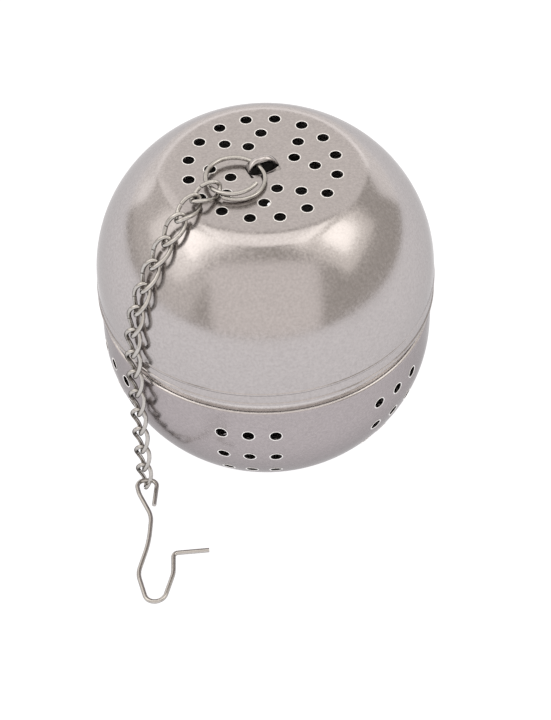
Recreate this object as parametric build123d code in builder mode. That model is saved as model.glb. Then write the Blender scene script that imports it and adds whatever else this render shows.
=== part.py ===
from build123d import *
from math import asin, cos, degrees, pi, radians, sin
import os

# Tea infuser ball: a screw-on lid over a perforated bowl, with a wire ring,
# a curb chain and a cup hook. Millimetres, +Z up, origin at the centre of the
# bowl's flat base, on the surface that the ball stands on. -Y is the front.

# --- Sheet-metal ball ---
sheet = 0.4              # wall of both halves
dome_arc = 22.0          # both halves share one drawn arc...
dome_rise = 19.2         # ...and its height
lid_radius = 25.0
lid_rim_z = 25.9         # lower edge of the lid
lid_skirt_top_z = 29.5   # where the straight skirt turns into the dome
plate_z = lid_skirt_top_z + dome_rise
corner_radius = 6.0      # soft corner round each flat
rim_bead = 0.12          # how far the lid's turned rim stands out
rim_bead_height = 0.6
bowl_radius = 24.75
bowl_shoulder_z = 24.0   # where the bowl steps in to its neck
neck_radius = 24.1
neck_top_z = 29.2
shoulder_radius = 0.5

# --- Rolled screw thread, right-handed ---
thread_pitch = 1.8
thread_start_z = 27.35   # height of the ridge at its lower end
thread_start_angle = 100
thread_turn = 0.95       # share of a full turn
thread_ridge = 0.45      # radius of the rolled ridge's section
lid_ridge_height = 0.13
neck_ridge_height = 0.16

# --- Punched holes ---
hole_radius = 0.88
plate_rings = ((4.94, 4, 23.5), (7.45, 8, 1.0), (10.69, 16, 12.25))  # radius, count, first angle
side_groups = (-67, -7, 50, 113, 177, 233)   # punched by eye, a few degrees off even sixths
base_turn = 39           # the base is punched by the lid's die, turned by this much
side_columns = 3
column_step = 9.2        # degrees
side_rows_z = (19.1, 13.8, 8.5)

# --- Lanced lug in the middle of the plate ---
lug_angle = 21.6
lug_length = 4.7         # between the bends at its two feet
lug_width = 1.25
lug_height = 1.75        # top of the raised strip over the plate
lug_crown = 2.7          # the strip's length at its top, before the corners are rounded
lug_crown_radius = 1.1
lug_offset = 0.34        # the raised strip sits behind the plate's centre
lip_width = 1.15         # the strip in front of it, pressed down instead
lip_depth = 0.95
lip_crown = 2.9
lip_crown_radius = 0.8
foot_radius = 0.35
foot_length = 0.5        # flat run at each foot, which joins the plate
slit = 0.06              # knife gap along each strip

# --- Wire ring through the lug ---
ring_wire = 0.65
ring_radius = 4.17
ring_centre = (-3.85, -2.95)
ring_first_angle = -38   # raised free end
ring_turn = 437          # degrees of wire, clockwise seen from above
ring_pinch = 0.45        # the upper end curls in by this much...
ring_lift = 1.4          # ...and stands this far over the lower one
ring_fade = 135          # degrees over which both die away
ring_centre_z = plate_z + 0.68
ring_tilt = 0.33       # it leans: its front right rests on the plate, its back left is up
ring_low_angle = -45

# --- Curb chain ---
link_count = 15
link_wire = 0.62
link_half_length = 2.52  # along the wire's centre line
link_half_width = 1.25
link_twist = 45          # degrees each way, so that the two ends stand crossed
link_gap = 2.0           # half of the butt gap, as an angle round the link
chain_angle = 47.2       # the chain hangs this far to the left of the front
chain_sway = 3.2         # its upper end is pulled this much further round
chain_lift = 1.05        # its centre line over the metal
chain_rises = (0.11, 0.34)   # more than that at the plate's edge, where the links stand crossed
chain_start = 12.16      # distance from the axis where the first link ends
draped_pitch = 3.7       # links lie a little slack on the dome
hanging_pitch = 4.135
draped_links = 6
ring_side_angle = -140.6   # where the first link goes round the ring
ring_side_inset = 0.77   # its bend lies this far inside the ring's wire
ring_side_z = plate_z + 1.1
first_rolls = (-17.7, -12, -10.4)  # the first links turn on edge to take the ring

# --- Cup hook ---
hook_wire = 0.65
hook_over_link = 0.65    # the eye's wire lies over the last link's bend
hook_shift = (0.2, -0.2) # where the eye sits in the last link's opening
hook_length = 21.4       # from the eye's top to the bend, which lies on the table
hook_corners = (         # corner and its inside radius, from the eye's free end to the lip
    ((1.2, -4.4), None),
    ((1.65, 0.3), 1.1),
    ((-1.7, 0.35), 1.1),
    ((-1.1, -2.2), 4.0),
    ((0.85, -6.4), 4.5),
    ((0.55, -11.3), 20.0),
    ((-0.95, -16.8), 4.0),
    ((0.6, -22.2), 1.5),
    ((3.0, -21.4), 1.7),
    ((4.3, -16.9), 5.0),
    ((4.25, -13.3), 0.7),
    ((9.55, -12.9), None),
)


def wall_outline(radius, skirt_z, rim_z, flat_z):
    """Half section of a drawn cup, closed along the axis."""
    rise = flat_z - skirt_z
    drop = abs(rise)
    flat_radius = radius - dome_arc + (dome_arc**2 - drop**2) ** 0.5
    with BuildLine() as outline:
        Line((0, rim_z), (radius, rim_z))
        Line((radius, rim_z), (radius, skirt_z))
        RadiusArc((radius, skirt_z), (flat_radius, flat_z), dome_arc if rise < 0 else -dome_arc)
        Line((flat_radius, flat_z), (0, flat_z))
        Line((0, flat_z), (0, rim_z))
    return outline.line


def thread_path(radius):
    """Centre line of the one-start ridge, standing on the given radius."""
    steps = 24
    points = []
    for step in range(steps + 1):
        turn = thread_turn * step / steps
        angle = radians(thread_start_angle) + 2 * pi * turn
        z = thread_start_z + thread_pitch * turn
        points.append((radius * cos(angle), radius * sin(angle), z))
    return points


def side_hole_planes():
    """A plane square to the bowl's wall at each side hole."""
    planes = []
    arc_centre_z = dome_rise
    for group in side_groups:
        for column in range(side_columns):
            angle = radians(group + column_step * (column - (side_columns - 1) / 2))
            outward = Vector(sin(angle), -cos(angle), 0)
            for z in side_rows_z:
                drop = max(arc_centre_z - z, 0)
                level = (dome_arc**2 - drop**2) ** 0.5
                reach = bowl_radius - dome_arc + level
                normal = outward * (level / dome_arc) - Vector(0, 0, drop / dome_arc)
                planes.append(Plane(origin=outward * reach + Vector(0, 0, z), z_dir=normal))
    return planes


def punched_flat(z, turn=0):
    """Hole pattern of the flat, on a sketch plane just over the metal."""
    with BuildSketch(Plane.XY.offset(z + 1)) as pattern:
        for ring, count, first in plate_rings:
            with PolarLocations(ring, count, start_angle=first + turn):
                Circle(hole_radius)
    return pattern.sketch


# --- Lid ---
with BuildPart() as upper_shell:
    with BuildSketch(Plane.XZ):
        with BuildLine():
            add(wall_outline(lid_radius, lid_skirt_top_z, lid_rim_z, plate_z))
        make_face()
    revolve(axis=Axis.Z)
    corner = upper_shell.edges().filter_by(GeomType.CIRCLE).sort_by(Axis.Z)[-1]
    fillet(corner, corner_radius)
    offset(amount=-sheet, openings=upper_shell.faces().sort_by(Axis.Z)[0])
    # turned bead round the rim
    with BuildSketch(Plane.XZ):
        with Locations((lid_radius + rim_bead / 2 - 0.1, lid_rim_z + rim_bead_height / 2)):
            RectangleRounded(rim_bead + 0.2, rim_bead_height, 0.1)
    revolve(axis=Axis.Z)
    # rolled thread, showing as a faint ridge round the skirt
    with BuildLine() as lid_thread:
        Spline(*thread_path(lid_radius + lid_ridge_height - thread_ridge))
    with BuildSketch(Plane(origin=lid_thread.line @ 0, z_dir=lid_thread.line % 0)):
        Circle(thread_ridge)
    sweep(path=lid_thread.line, is_frenet=True)
    with BuildSketch(Plane.XY.offset(lid_rim_z)):
        Circle(lid_radius - sheet)
    extrude(amount=lid_skirt_top_z - lid_rim_z, mode=Mode.SUBTRACT)
    add(punched_flat(plate_z))
    extrude(amount=-2, mode=Mode.SUBTRACT)

    # lug: one strip raised over the plate and one pressed down in front of it
    across = Vector(-sin(radians(lug_angle)), cos(radians(lug_angle)), 0)
    along = Vector(cos(radians(lug_angle)), sin(radians(lug_angle)), 0)
    lug_plane = Plane(origin=across * lug_offset + Vector(0, 0, plate_z), x_dir=along, z_dir=-across)
    slot_plane = Plane(origin=lug_plane.origin, x_dir=along, z_dir=(0, 0, 1))
    slot_width = lug_width + lip_width + 3 * slit
    with BuildSketch(slot_plane):
        with Locations((0, (lug_width + slit) / 2 + slit / 2 - slot_width / 2)):
            Rectangle(lug_length + foot_length, slot_width)
    extrude(amount=sheet * 2, both=True, mode=Mode.SUBTRACT)
    foot_x = lug_length / 2
    middle = -sheet / 2
    for rise, crown, crown_radius, width, start in (
        (lug_height, lug_crown, lug_crown_radius, lug_width, -lug_width / 2),
        (-lip_depth, lip_crown, lip_crown_radius, lip_width, lug_width / 2 + slit),
    ):
        with BuildSketch(lug_plane.offset(start)):
            with BuildLine() as strip:
                FilletPolyline(
                    (-foot_x - foot_length, middle),
                    (-foot_x, middle),
                    (-crown / 2, rise + middle),
                    (crown / 2, rise + middle),
                    (foot_x, middle),
                    (foot_x + foot_length, middle),
                    radius=[foot_radius, crown_radius, crown_radius, foot_radius],
                )
            trace(strip.line, line_width=sheet)
        extrude(amount=width)
upper_shell.part.label = "upper_shell"

# --- Bowl ---
with BuildPart() as lower_bowl:
    with BuildSketch(Plane.XZ):
        with BuildLine():
            add(wall_outline(bowl_radius, dome_rise, bowl_shoulder_z, 0))
        make_face()
    revolve(axis=Axis.Z)
    fillet(lower_bowl.edges().filter_by(GeomType.CIRCLE).sort_by(Axis.Z)[0], corner_radius)
    fillet(lower_bowl.edges().filter_by(GeomType.CIRCLE).sort_by(Axis.Z)[-1], shoulder_radius)
    with BuildSketch(Plane.XY.offset(bowl_shoulder_z)):
        Circle(neck_radius)
    extrude(amount=neck_top_z - bowl_shoulder_z)
    offset(amount=-sheet, openings=lower_bowl.faces().sort_by(Axis.Z)[-1])
    with BuildLine() as neck_thread:
        Spline(*thread_path(neck_radius + neck_ridge_height - thread_ridge))
    with BuildSketch(Plane(origin=neck_thread.line @ 0, z_dir=neck_thread.line % 0)):
        Circle(thread_ridge)
    sweep(path=neck_thread.line, is_frenet=True)
    with BuildSketch(Plane.XY.offset(bowl_shoulder_z)):
        Circle(neck_radius - sheet)
    extrude(amount=neck_top_z - bowl_shoulder_z, mode=Mode.SUBTRACT)
    add(punched_flat(0, base_turn))
    extrude(amount=-2, mode=Mode.SUBTRACT)
    with BuildSketch(*side_hole_planes()):
        Circle(hole_radius)
    extrude(amount=1.5, both=True, mode=Mode.SUBTRACT)
lower_bowl.part.label = "lower_bowl"

# --- Ring: a turn and a fifth of wire, its upper free end sprung clear of the lower ---
def ring_point(done):
    """Centre line of the ring, after so many degrees from its raised free end."""
    angle = radians(ring_first_angle - done)
    spring = max(0, 1 - done / ring_fade)
    reach = ring_radius - ring_pinch * spring
    lean = -ring_tilt * cos(angle - radians(ring_low_angle))
    return Vector(
        ring_centre[0] + reach * cos(angle),
        ring_centre[1] + reach * sin(angle),
        ring_centre_z + lean + ring_lift * spring,
    )


ring_steps = 29
with BuildPart() as split_ring:
    with BuildLine() as ring_line:
        Spline(*[ring_point(ring_turn * step / ring_steps) for step in range(ring_steps + 1)])
    with BuildSketch(Plane(origin=ring_line.line @ 0, z_dir=ring_line.line % 0)):
        Circle(ring_wire / 2)
    sweep(path=ring_line.line, is_frenet=True)
split_ring.part.label = "split_ring"


# --- Chain: over the plate, down the dome, then straight down to the table ---
chain_out = Vector(0, -1, 0).rotate(Axis.Z, -chain_angle)
route_arc = dome_arc + chain_lift
arc_x = lid_radius - dome_arc
edge_angle = asin((dome_rise + chain_lift) / route_arc)
edge_x = arc_x + route_arc * cos(edge_angle)


def route_point(length):
    """Where the chain's centre line is, so far along it from chain_start."""
    flat = edge_x - chain_start
    bend = route_arc * edge_angle
    if length < flat:
        out, z = chain_start + length, plate_z + chain_lift
    elif length < flat + bend:
        angle = edge_angle - (length - flat) / route_arc
        out, z = arc_x + route_arc * cos(angle), lid_skirt_top_z + route_arc * sin(angle)
    else:
        out, z = arc_x + route_arc, lid_skirt_top_z - (length - flat - bend)
    sway = chain_sway * max(0, 1 - length / draped_pitch)
    return (chain_out * out).rotate(Axis.Z, -sway) + Vector(0, 0, z)


def chain_contacts():
    """The points where the links hold each other, from the ring to the hook."""
    inside = Vector(ring_radius - ring_side_inset, 0, 0).rotate(Axis.Z, ring_side_angle)
    points = [Vector(*ring_centre, ring_side_z) + inside]
    length = 0
    for link in range(link_count):
        rise = chain_rises[link] if link < len(chain_rises) else 0
        points.append(route_point(length) + Vector(0, 0, rise))
        length += draped_pitch if link < draped_links else hanging_pitch
    return points


def link_plane(number, contacts):
    """Local frame of a link: x along the chain, z away from the metal, rolled about x."""
    first, last = contacts[number - 1], contacts[number]
    along = (last - first).normalized()
    side = Vector(0, 0, 1).cross(chain_out)
    away = along.cross(side).normalized()
    if away.dot(chain_out + Vector(0, 0, 1)) < 0:
        away = away * -1
    roll = first_rolls[number - 1] if number <= len(first_rolls) else 0
    away = away.rotate(Axis((0, 0, 0), along), roll)
    return Plane(origin=(first + last) / 2, x_dir=along, z_dir=away)


def link_points():
    """Centre line of one twisted link, from one side of its butt gap to the other."""
    steps = 16
    points = []
    for step in range(steps + 1):
        turn = radians(-90 + link_gap + (360 - 2 * link_gap) * step / steps)
        twist = radians(link_twist) * cos(turn)
        across = link_half_width * sin(turn)
        points.append((link_half_length * cos(turn), across * cos(twist), across * sin(twist)))
    return points


contacts = chain_contacts()
links = []
for number in range(1, link_count + 1):
    with BuildPart() as chain_link:
        with BuildLine(link_plane(number, contacts)) as link_line:
            Spline(*link_points())
        with BuildSketch(Plane(origin=link_line.line @ 0, z_dir=link_line.line % 0)):
            Circle(link_wire / 2)
        sweep(path=link_line.line, is_frenet=True)
    chain_link.part.label = f"chain_link_{number:02d}"
    links.append(chain_link.part)

# --- Cup hook: teardrop eye, shank, broad bend and a lip turned out at the tip ---
eye_top = contacts[-1]
hook_lean = degrees(asin((eye_top.Z + hook_over_link - hook_wire / 2) / hook_length))
hook_plane = Plane(origin=eye_top + Vector(*hook_shift, hook_over_link), x_dir=(1, 0, 0), z_dir=(0, 0, 1))
hook_plane = hook_plane.rotated((hook_lean, 0, 0))
with BuildPart() as hook:
    with BuildLine(hook_plane) as hook_line:
        FilletPolyline(*[point for point, radius in hook_corners],
                       radius=[radius for point, radius in hook_corners[1:-1]])
    with BuildSketch(Plane(origin=hook_line.line @ 0, z_dir=hook_line.line % 0)):
        Circle(hook_wire / 2)
    sweep(path=hook_line.line)
hook.part.label = "hook"

os.makedirs("parts", exist_ok=True)
for piece in [upper_shell.part, lower_bowl.part, split_ring.part, *links, hook.part]:
    export_step(piece, f"parts/{piece.label}.step")
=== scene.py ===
"""Looks of the tea infuser ball: lid, bowl, ring, chain and cup hook, in steel on a pale floor.

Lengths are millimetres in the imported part's own frame, and MM turns them into metres. Those of the lamps
and the floor are metres.
"""

from math import atan2, cos, hypot, pi, radians, sin, sqrt

import bmesh
import bpy
from mathutils import Matrix, Vector

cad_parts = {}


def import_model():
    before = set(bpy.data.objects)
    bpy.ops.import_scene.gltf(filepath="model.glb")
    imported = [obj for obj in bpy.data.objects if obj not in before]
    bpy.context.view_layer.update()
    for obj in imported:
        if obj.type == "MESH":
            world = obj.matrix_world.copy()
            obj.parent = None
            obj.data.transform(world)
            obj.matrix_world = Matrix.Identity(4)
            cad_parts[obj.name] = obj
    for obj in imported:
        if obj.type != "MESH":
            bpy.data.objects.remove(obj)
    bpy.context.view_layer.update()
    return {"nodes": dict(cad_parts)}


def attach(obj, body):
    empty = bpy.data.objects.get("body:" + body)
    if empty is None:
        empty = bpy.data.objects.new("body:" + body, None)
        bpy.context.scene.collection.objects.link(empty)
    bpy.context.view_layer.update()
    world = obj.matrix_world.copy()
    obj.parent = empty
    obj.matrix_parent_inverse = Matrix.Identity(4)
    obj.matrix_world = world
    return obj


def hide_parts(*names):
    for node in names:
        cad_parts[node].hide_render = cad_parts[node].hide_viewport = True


MM = 0.001

# --- Ball, as in the CAD part ---
SHEET = 0.4
DOME_ARC = 22.0          # both halves share one drawn arc
DOME_RISE = 19.2
CORNER = 6.0             # soft corner round each flat
LID_RADIUS = 25.0
LID_RIM_Z = 25.9
LID_SKIRT_TOP_Z = 29.5
PLATE_Z = LID_SKIRT_TOP_Z + DOME_RISE
BOWL_RADIUS = 24.75
SHOULDER_Z = 24.0
SHOULDER_RADIUS = 0.5
NECK_RADIUS = 24.1
NECK_TOP_Z = 29.2
BEAD = 0.12
BEAD_HEIGHT = 0.6
AROUND = 256             # faces round the ball
OUTER_STEPS = (56, 14)   # rows of faces up the arc and round the corner, outside
INNER_STEPS = (24, 6)    # and inside
SKIRT_ROWS = 56

# --- Thread ---
THREAD_PITCH = 1.8
THREAD_START_Z = 27.35
THREAD_START_ANGLE = 100
THREAD_TURN = 0.95
THREAD_RIDGE = 0.13
THREAD_WIDTH = 0.32
THREAD_FADE = 25         # how fast the ridge rises at its ends, per turn

# --- Holes ---
HOLE_RADIUS = 0.88
HOLE_SEGMENTS = 40
PUNCH_DEPTH = 3
BURR = 0.085             # radius of the rounded edge that the punch leaves
BURR_HEIGHT = 0.6        # its height over its width
PLATE_RINGS = ((4.94, 4, 23.5), (7.45, 8, 1.0), (10.69, 16, 12.25))
BASE_TURN = 39           # the base has the lid's hole pattern, turned
SIDE_GROUPS = (-67, -7, 50, 113, 177, 233)
COLUMN_STEP = 9.2
SIDE_ROWS_Z = (19.1, 13.8, 8.5)

# --- Lug ---
LUG_ANGLE = radians(21.6)
LUG_LENGTH = 4.7
LUG_WIDTH = 1.25
LUG_HEIGHT = 1.75
LUG_OFFSET = 0.34        # the raised strip sits behind the plate's centre
LIP_WIDTH = 1.15
LIP_DEPTH = 0.95
SLIT = 0.06              # knife gap along each strip

# --- Steel ---
CLOUD_SCALE = 130        # cloudy patches in the gloss
GRAIN_DEPTH = 0.02
GRAIN_SHADE = 0.84       # tint of the grain's dark spots, as a share of the tint


def piece(name, mesh, material, body, slot, *nodes):
    """A new mesh object that rides on a CAD body and may stand for CAD nodes."""
    obj = bpy.data.objects.new(name, mesh)
    bpy.context.scene.collection.objects.link(obj)
    mesh.materials.clear()
    mesh.materials.append(material)
    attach(obj, body)
    if nodes:
        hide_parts(*nodes)
    return obj


# --- Materials ---

def steel(name, tint, edge, smooth, rough, grain, bump):
    """Steel with a fine grain in its bump and tint, cloudy patches in its gloss, and an edge tint."""
    material = bpy.data.materials.new(name)
    material.use_nodes = True
    nodes = material.node_tree.nodes
    links = material.node_tree.links
    shader = nodes["Principled BSDF"]
    shader.inputs["Metallic"].default_value = 1.0
    shader.inputs["Specular Tint"].default_value = (*[edge] * 3, 1)
    place = nodes.new("ShaderNodeTexCoord")

    fine = nodes.new("ShaderNodeTexNoise")
    fine.inputs["Scale"].default_value = grain
    fine.inputs["Detail"].default_value = 3.0
    links.new(place.outputs["Object"], fine.inputs["Vector"])

    cloudy = nodes.new("ShaderNodeTexNoise")
    cloudy.inputs["Scale"].default_value = CLOUD_SCALE
    cloudy.inputs["Detail"].default_value = 5.0
    links.new(place.outputs["Object"], cloudy.inputs["Vector"])

    worn = nodes.new("ShaderNodeMath")
    worn.operation = "ADD"
    links.new(fine.outputs["Fac"], worn.inputs[0])
    links.new(cloudy.outputs["Fac"], worn.inputs[1])
    gloss = nodes.new("ShaderNodeMapRange")
    gloss.inputs["From Min"].default_value = 0.7
    gloss.inputs["From Max"].default_value = 1.3
    gloss.inputs["To Min"].default_value = smooth
    gloss.inputs["To Max"].default_value = rough
    links.new(worn.outputs["Value"], gloss.inputs["Value"])
    links.new(gloss.outputs["Result"], shader.inputs["Roughness"])

    shades = nodes.new("ShaderNodeValToRGB")
    shades.color_ramp.elements[0].position = 0.3
    shades.color_ramp.elements[0].color = (*[c * GRAIN_SHADE for c in tint], 1)
    shades.color_ramp.elements[1].position = 0.7
    shades.color_ramp.elements[1].color = (*tint, 1)
    links.new(fine.outputs["Fac"], shades.inputs["Fac"])
    links.new(shades.outputs["Color"], shader.inputs["Base Color"])

    relief = nodes.new("ShaderNodeBump")
    relief.inputs["Strength"].default_value = bump
    relief.inputs["Distance"].default_value = GRAIN_DEPTH * MM
    links.new(fine.outputs["Fac"], relief.inputs["Height"])
    links.new(relief.outputs["Normal"], shader.inputs["Normal"])
    return material


# --- Sheet-metal ball ---

def corner_centre(radius):
    """Centre of the corner between the flat and the drawn arc: reach, and height over the arc's centre."""
    inside = DOME_ARC - CORNER
    height = DOME_RISE - CORNER
    return radius - DOME_ARC + sqrt(inside**2 - height**2), height


def dome_profile(radius, thickness, arc_steps, corner_steps):
    """Reach and height over the arc's centre, from the straight wall up to the flat's edge."""
    reach, height = corner_centre(radius)
    arc_x = radius - DOME_ARC
    meet = atan2(height, reach - arc_x)
    points = []
    for step in range(arc_steps):
        angle = meet * step / arc_steps
        points.append((arc_x + (DOME_ARC - thickness) * cos(angle), (DOME_ARC - thickness) * sin(angle)))
    for step in range(corner_steps + 1):
        angle = meet + (pi / 2 - meet) * step / corner_steps
        points.append((reach + (CORNER - thickness) * cos(angle), height + (CORNER - thickness) * sin(angle)))
    return points


def dome_normal(radius, reach, height):
    """Outward direction of a drawn half at a reach and a height over the arc's centre."""
    corner_reach, corner_height = corner_centre(radius)
    if height > DOME_RISE - 0.002:
        return 0.0, 1.0
    if height <= 0:
        return 1.0, 0.0
    arc_x = radius - DOME_ARC
    if atan2(height, reach - arc_x) > atan2(corner_height, corner_reach - arc_x):
        out, up = reach - corner_reach, height - corner_height
    else:
        out, up = reach - arc_x, height
    return out / hypot(out, up), up / hypot(out, up)


def thread_bump(angle, z):
    """How far the rolled thread pushes the lid's skirt out at an angle and height."""
    turn = ((angle - radians(THREAD_START_ANGLE)) / (2 * pi)) % 1.0
    bump = 0.0
    if turn < THREAD_TURN:
        fade = min(1.0, turn * THREAD_FADE, (THREAD_TURN - turn) * THREAD_FADE)
        off = (z - THREAD_START_Z - THREAD_PITCH * turn) / THREAD_WIDTH
        bump = THREAD_RIDGE * fade * max(0.0, 1 - off * off) ** 2
    return bump


def lathe(profile, shape=None):
    """A closed mesh from an open profile of (reach, z), turned about Z, with a flat at both ends."""
    bm = bmesh.new()
    rows = []
    for reach, z in profile:
        row = []
        for step in range(AROUND):
            angle = 2 * pi * step / AROUND
            out = reach + (shape(angle, z) if shape else 0)
            row.append(bm.verts.new((out * cos(angle) * MM, out * sin(angle) * MM, z * MM)))
        rows.append(row)
    for low, high in zip(rows, rows[1:]):
        for step in range(AROUND):
            after = (step + 1) % AROUND
            bm.faces.new((low[step], low[after], high[after], high[step]))
    bm.faces.new(rows[0][::-1])
    bm.faces.new(rows[-1])
    bmesh.ops.recalc_face_normals(bm, faces=bm.faces)
    mesh = bpy.data.meshes.new("lathe")
    bm.to_mesh(mesh)
    bm.free()
    return mesh


def plate_holes(z, turn=0):
    """A frame for each hole of a flat: its origin on the metal, its Z along the hole."""
    frames = []
    for ring, count, first in PLATE_RINGS:
        for step in range(count):
            angle = radians(first + turn) + 2 * pi * step / count
            frames.append(Matrix.Translation((ring * cos(angle) * MM, ring * sin(angle) * MM, z * MM)))
    return frames


def side_holes():
    """A frame for each hole in the bowl's wall."""
    frames = []
    for group in SIDE_GROUPS:
        for column in (-1, 0, 1):
            angle = radians(group + COLUMN_STEP * column)
            for z in SIDE_ROWS_Z:
                drop = max(DOME_RISE - z, 0)
                level = sqrt(DOME_ARC**2 - drop**2)
                reach = BOWL_RADIUS - DOME_ARC + level
                normal = Vector((sin(angle) * level, -cos(angle) * level, -drop)).normalized()
                origin = Vector((sin(angle) * reach, -cos(angle) * reach, z)) * MM
                turned = normal.to_track_quat("Z", "Y").to_matrix().to_4x4()
                frames.append(Matrix.Translation(origin) @ turned)
    return frames


def punch(mesh, frames, slot_frame=None):
    """The mesh with a round hole at each frame, and the lug's slot if there is one."""
    bm = bmesh.new()
    for frame_matrix in frames:
        bmesh.ops.create_cone(bm, cap_ends=True, segments=HOLE_SEGMENTS, radius1=HOLE_RADIUS * MM,
                              radius2=HOLE_RADIUS * MM, depth=PUNCH_DEPTH * MM, matrix=frame_matrix)
    if slot_frame:
        bmesh.ops.create_cube(bm, size=1.0, matrix=slot_frame)
    tool_mesh = bpy.data.meshes.new("punch")
    bm.to_mesh(tool_mesh)
    bm.free()
    tool = bpy.data.objects.new("punch", tool_mesh)
    blank = bpy.data.objects.new("blank", mesh)
    for obj in (tool, blank):
        bpy.context.scene.collection.objects.link(obj)
    cut = blank.modifiers.new("punch", "BOOLEAN")
    cut.object = tool
    cut.solver = "EXACT"
    evaluated = blank.evaluated_get(bpy.context.evaluated_depsgraph_get())
    punched = bpy.data.meshes.new_from_object(evaluated)
    for obj in (tool, blank):
        bpy.data.objects.remove(obj)
    return punched


def set_normals(mesh, direction):
    """Exact shading normals on the outer face, from direction(point), and sharp edges elsewhere."""
    normals = []
    for face in mesh.polygons:
        face.use_smooth = True
        for index in face.loop_indices:
            point = mesh.vertices[mesh.loops[index].vertex_index].co / MM
            exact = direction(point)
            if exact is None or exact.dot(face.normal) < 0.8:
                exact = face.normal
            normals.append(exact)
    mesh.normals_split_custom_set(normals)


def lid_normal(point):
    """Outward direction of the lid's metal at a point."""
    reach = hypot(point.x, point.y)
    if point.z > PLATE_Z - 0.01:
        return Vector((0, 0, 1))
    if reach < 1:
        return None
    height = point.z - LID_SKIRT_TOP_Z
    out, up = dome_normal(LID_RADIUS, reach, height)
    if height < 0:
        angle = atan2(point.y, point.x)
        step = 0.02
        up = -(thread_bump(angle, point.z + step) - thread_bump(angle, point.z - step)) / (2 * step)
    normal = Vector((out * point.x / reach, out * point.y / reach, up)).normalized()
    return normal


def bowl_normal(point):
    """Outward direction of the bowl's metal at a point."""
    reach = hypot(point.x, point.y)
    if point.z < 0.01:
        return Vector((0, 0, -1))
    if reach < 1:
        return None
    out, up = dome_normal(BOWL_RADIUS, reach, DOME_RISE - point.z)
    if point.z > SHOULDER_Z - SHOULDER_RADIUS and reach > NECK_RADIUS + 0.01:
        out = reach - (BOWL_RADIUS - SHOULDER_RADIUS)
        up = -(point.z - (SHOULDER_Z - SHOULDER_RADIUS))
    return Vector((out * point.x / reach, out * point.y / reach, -up)).normalized()


def paint_inside_shade(mesh, direction):
    """Painted shade, the mesh's second metal, on the unpolished faces that look inwards: a dark, rougher
    steel that stands in for the shade inside the shut ball.
    """
    mesh.materials.append(inner_painted_shade_steel)
    for face in mesh.polygons:
        outward = direction(face.center / MM)
        if outward is not None and outward.dot(face.normal) < -0.5:
            face.material_index = 1


def lug_frame():
    """Frame of the lug: X along it, Y to the back, origin on the plate at the raised strip's middle."""
    turn = Matrix.Rotation(LUG_ANGLE, 4, "Z")
    lift = Matrix.Translation((0, 0, PLATE_Z * MM))
    return lift @ turn @ Matrix.Translation((0, LUG_OFFSET * MM, 0))


def lid_mesh():
    """The lid: dome, skirt with its thread ridge, rim bead, holes and slot."""
    outside = dome_profile(LID_RADIUS, 0, *OUTER_STEPS)
    inside = dome_profile(LID_RADIUS, SHEET, *INNER_STEPS)
    outer = [(reach, LID_SKIRT_TOP_Z + height) for reach, height in outside]
    inner = [(reach, LID_SKIRT_TOP_Z + height) for reach, height in inside]
    bead_x = LID_RADIUS + BEAD
    rim = [
        (LID_RADIUS - SHEET, LID_RIM_Z),
        (bead_x - 0.08, LID_RIM_Z),
        (bead_x, LID_RIM_Z + 0.08),
        (bead_x, LID_RIM_Z + BEAD_HEIGHT - 0.12),
        (LID_RADIUS, LID_RIM_Z + BEAD_HEIGHT),
    ]
    first = LID_RIM_Z + BEAD_HEIGHT + 0.05
    skirt = [(LID_RADIUS, first + (LID_SKIRT_TOP_Z - first) * row / SKIRT_ROWS) for row in range(SKIRT_ROWS)]

    def shape(angle, z):
        plain = z <= first or z >= LID_SKIRT_TOP_Z
        return 0 if plain else thread_bump(angle, z)

    blank = lathe(inner[::-1] + rim + skirt + outer, shape)
    depth = LUG_WIDTH + LIP_WIDTH + 3 * SLIT
    back = LUG_WIDTH / 2 + SLIT
    slot = lug_frame() @ Matrix.Translation((0, (back - depth / 2) * MM, 0))
    slot = slot @ Matrix.Diagonal(((LUG_LENGTH + 0.1) * MM, depth * MM, 3 * SHEET * MM, 1))
    mesh = punch(blank, plate_holes(PLATE_Z), slot)
    set_normals(mesh, lid_normal)
    return mesh


def bowl_mesh():
    """The bowl: arc, rounded shoulder, neck and holes."""
    outside = dome_profile(BOWL_RADIUS, 0, *OUTER_STEPS)
    inside = dome_profile(BOWL_RADIUS, SHEET, *INNER_STEPS)
    outer = [(reach, DOME_RISE - height) for reach, height in outside]
    inner = [(reach, DOME_RISE - height) for reach, height in inside]
    wall = []
    for row in range(6):
        angle = pi / 2 * row / 5
        wall.append((
            BOWL_RADIUS - SHOULDER_RADIUS * (1 - sin(angle)),
            SHOULDER_Z - SHOULDER_RADIUS * (1 - cos(angle)),
        ))
    neck = [
        (BOWL_RADIUS - SHEET, SHOULDER_Z - SHEET - 0.2),
        (NECK_RADIUS - SHEET, SHOULDER_Z - SHEET),
        (NECK_RADIUS - SHEET, NECK_TOP_Z),
        (NECK_RADIUS, NECK_TOP_Z),
        (NECK_RADIUS, SHOULDER_Z),
    ]
    blank = lathe(inner[::-1] + neck + wall + outer)
    mesh = punch(blank, plate_holes(0, BASE_TURN) + side_holes())
    set_normals(mesh, bowl_normal)
    return mesh


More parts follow.
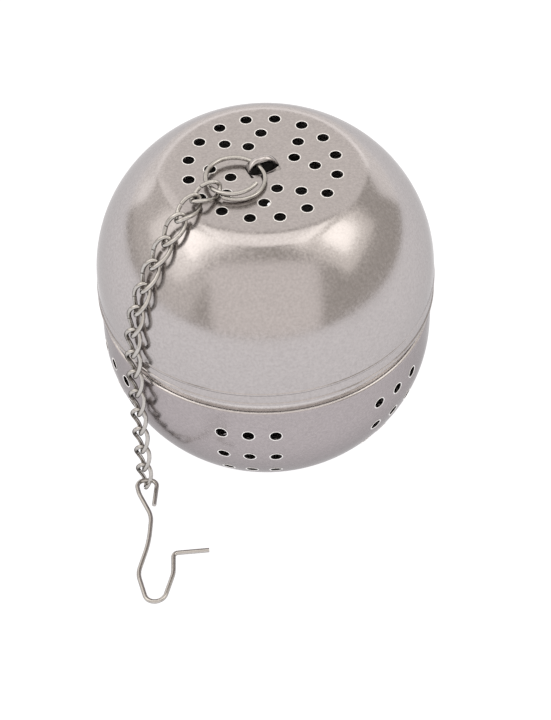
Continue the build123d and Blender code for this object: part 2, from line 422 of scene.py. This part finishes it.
def burr_mesh(frames):
    """The rounded edge round each punched hole."""
    bm = bmesh.new()
    sides = 8
    around = 32
    major = HOLE_RADIUS + BURR * 0.5
    for frame_matrix in frames:
        rings = []
        for step in range(around):
            angle = 2 * pi * step / around
            ring = []
            for side in range(sides):
                turn = 2 * pi * side / sides
                out = major + BURR * cos(turn)
                place = Vector((out * cos(angle), out * sin(angle), BURR * BURR_HEIGHT * sin(turn))) * MM
                ring.append(bm.verts.new(frame_matrix @ place))
            rings.append(ring)
        for step in range(around):
            here, there = rings[step], rings[(step + 1) % around]
            for side in range(sides):
                after = (side + 1) % sides
                bm.faces.new((here[side], there[side], there[after], here[after])).smooth = True
    mesh = bpy.data.meshes.new("burr")
    bm.to_mesh(mesh)
    bm.free()
    return mesh


def strip_mesh(height, width, front, crowned):
    """A pressed strip of the lug: a bowed sheet with rounded feet that run into the plate."""
    bm = bmesh.new()
    along_steps = 40
    across_steps = 10
    grid = []
    for i in range(along_steps + 1):
        t = -1 + 2 * i / along_steps
        rise = max(0.0, 1 - abs(t) ** 2.6) ** 0.8
        row = []
        for j in range(across_steps + 1):
            w = -1 + 2 * j / across_steps
            crown = 1 - crowned * w * w
            place = Vector((t * LUG_LENGTH / 2, front + width * (j / across_steps), height * rise * crown))
            row.append(bm.verts.new(lug_frame() @ (place * MM)))
        grid.append(row)
    for low, high in zip(grid, grid[1:]):
        for j in range(across_steps):
            bm.faces.new((low[j], high[j], high[j + 1], low[j + 1])).smooth = True
    bmesh.ops.recalc_face_normals(bm, faces=bm.faces)
    bmesh.ops.solidify(bm, geom=bm.faces, thickness=SHEET * 0.9 * MM)
    mesh = bpy.data.meshes.new("strip")
    bm.to_mesh(mesh)
    bm.free()
    return mesh


# --- Build ---

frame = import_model()

lid_steel = steel("lid_steel", (0.50, 0.472, 0.468), 0.72, 0.13, 0.26, 2600, 0.30)
bowl_steel = steel("bowl_steel", (0.43, 0.395, 0.40), 0.6, 0.16, 0.28, 2600, 0.28)
# painted highlight: a near-white tint on the hole rims, so that they read as lit edges
rim_painted_highlight_steel = steel("rim_painted_highlight_steel", (0.95, 0.94, 0.93), 1.0, 0.45, 0.6, 2600, 0.1)
# painted shade: a dark tint for the inside faces, in place of the shade inside the shut ball
inner_painted_shade_steel = steel("inner_painted_shade_steel", (0.20, 0.19, 0.18), 0.3, 0.40, 0.55, 2600, 0.2)
# painted light: a tint lighter than the bowl's, for the light band at the neck and shoulder
neck_painted_light_steel = steel("neck_painted_light_steel", (0.66, 0.63, 0.62), 0.8, 0.22, 0.34, 2600, 0.3)
# painted shade: an edge tint of 0 darkens the wires along their edges
wire_steel = steel("wire_steel", (0.54, 0.52, 0.495), 0.0, 0.09, 0.18, 4000, 0.15)

lid = piece("lid_shell", lid_mesh(), lid_steel, "lid", "lid_steel", "upper_shell")
paint_inside_shade(lid.data, lid_normal)
piece("lid_hole_rims", burr_mesh(plate_holes(PLATE_Z)), rim_painted_highlight_steel, "lid", "lid_steel")
piece("lid_lug", strip_mesh(LUG_HEIGHT, LUG_WIDTH, -LUG_WIDTH / 2, 0.25), lid_steel, "lid", "lid_steel")
lip_front = -LUG_WIDTH / 2 - SLIT - LIP_WIDTH
piece("lid_lip", strip_mesh(-LIP_DEPTH, LIP_WIDTH, lip_front, 0.1), lid_steel, "lid", "lid_steel")

bowl = piece("bowl_shell", bowl_mesh(), bowl_steel, "bowl", "bowl_steel", "lower_bowl")
paint_inside_shade(bowl.data, bowl_normal)
# painted light: the bowl's outer faces at the shoulder and neck take the lighter steel
bowl.data.materials.append(neck_painted_light_steel)
for face in bowl.data.polygons:
    if face.center.z > (SHOULDER_Z - SHOULDER_RADIUS / 2) * MM and face.material_index == 0:
        face.material_index = 2
piece("bowl_hole_rims", burr_mesh(plate_holes(0, BASE_TURN) + side_holes()), rim_painted_highlight_steel, "bowl", "bowl_steel")

for name, node in frame["nodes"].items():
    if name not in ("upper_shell", "lower_bowl"):
        node.data.materials.clear()
        node.data.materials.append(wire_steel)


# --- Stage ---

def floor():
    """A pale floor that glows, so that it takes almost no shadow."""
    mesh = bpy.data.meshes.new("floor")
    half = 1.5
    corners = [(-half, -half, 0), (half, -half, 0), (half, half, 0), (-half, half, 0)]
    mesh.from_pydata(corners, [], [(0, 1, 2, 3)])
    obj = bpy.data.objects.new("floor", mesh)
    bpy.context.scene.collection.objects.link(obj)
    material = bpy.data.materials.new("floor")
    material.use_nodes = True
    shader = material.node_tree.nodes["Principled BSDF"]
    shader.inputs["Base Color"].default_value = (0.08, 0.08, 0.08, 1)
    shader.inputs["Roughness"].default_value = 0.9
    shader.inputs["Emission Color"].default_value = (1.0, 0.985, 1.0, 1)
    shader.inputs["Emission Strength"].default_value = 1.0
    mesh.materials.append(material)


def softbox(name, azimuth, elevation, distance, size, power, colour):
    """An area lamp that faces the ball, from an azimuth (0 in front, 90 at the right) and an elevation."""
    data = bpy.data.lights.new(name, "AREA")
    data.shape = "RECTANGLE"
    data.size, data.size_y = size
    data.energy = power
    data.color = colour
    lamp = bpy.data.objects.new(name, data)
    bpy.context.scene.collection.objects.link(lamp)
    a, e = radians(azimuth), radians(elevation)
    away = Vector((sin(a) * cos(e), -cos(a) * cos(e), sin(e)))
    lamp.location = away * distance + Vector((0, 0, PLATE_Z * MM / 2))
    lamp.rotation_mode = "QUATERNION"
    lamp.rotation_quaternion = away.to_track_quat("Z", "Y")
    lamp.visible_camera = False


def world():
    """The warm dim room that the ball reflects between the lamps."""
    setting = bpy.data.worlds.new("studio")
    bpy.context.scene.world = setting
    setting.use_nodes = True
    background = setting.node_tree.nodes["Background"]
    background.inputs["Color"].default_value = (1.0, 0.93, 0.86, 1)
    background.inputs["Strength"].default_value = 0.62


floor()
world()
softbox("left_lamp", -78, 49, 1.0, (0.36, 0.36), 0.4, (1.0, 0.97, 0.93))
softbox("left_glow", -86, 45, 1.0, (0.85, 0.9), 1.3, (1.0, 0.97, 0.93))
softbox("left_fill", -112, 30, 1.0, (1.0, 0.9), 0.7, (1.0, 0.97, 0.94))
softbox("left_wall", -66, 22, 1.2, (0.8, 0.9), 0.75, (1.0, 0.97, 0.95))
softbox("right_lamp", 84, 45, 1.0, (0.36, 0.36), 0.45, (1.0, 0.97, 0.93))
softbox("right_glow", 84, 48, 1.0, (0.75, 0.85), 1.15, (1.0, 0.96, 0.9))
softbox("top_lamp", 0, 88, 1.0, (1.0, 0.62), 1.9, (1.0, 0.97, 0.94))
softbox("front_wall", 0, 29, 1.2, (1.75, 1.3), 3.4, (1.0, 0.96, 0.96))
softbox("back_wall", 180, 42, 1.2, (1.9, 1.15), 2.9, (1.0, 0.97, 0.96))
softbox("back_floor", 180, 8, 1.2, (3.2, 0.7), 4.5, (1.0, 0.99, 1.0))

data = bpy.data.cameras.new("camera")
camera = bpy.data.objects.new("camera", data)
bpy.context.scene.collection.objects.link(camera)
data.lens = 103.66
data.sensor_width = 36
data.clip_start = 0.01
data.clip_end = 20
pitch = radians(46.631)  # below the horizon
roll = radians(1.42)
ahead = Vector((0, cos(pitch), -sin(pitch)))
side = Vector((1, 0, 0))
upward = side.cross(ahead)
view_side = side * cos(roll) - upward * sin(roll)
view_up = side * sin(roll) + upward * cos(roll)
turn = Matrix((view_side, view_up, -ahead)).transposed()
camera.matrix_world = Matrix.Translation(Vector((1.159, -221.707, 243.582)) * MM) @ turn.to_4x4()
bpy.context.scene.camera = camera
bpy.context.scene.view_settings.view_transform = "Standard"
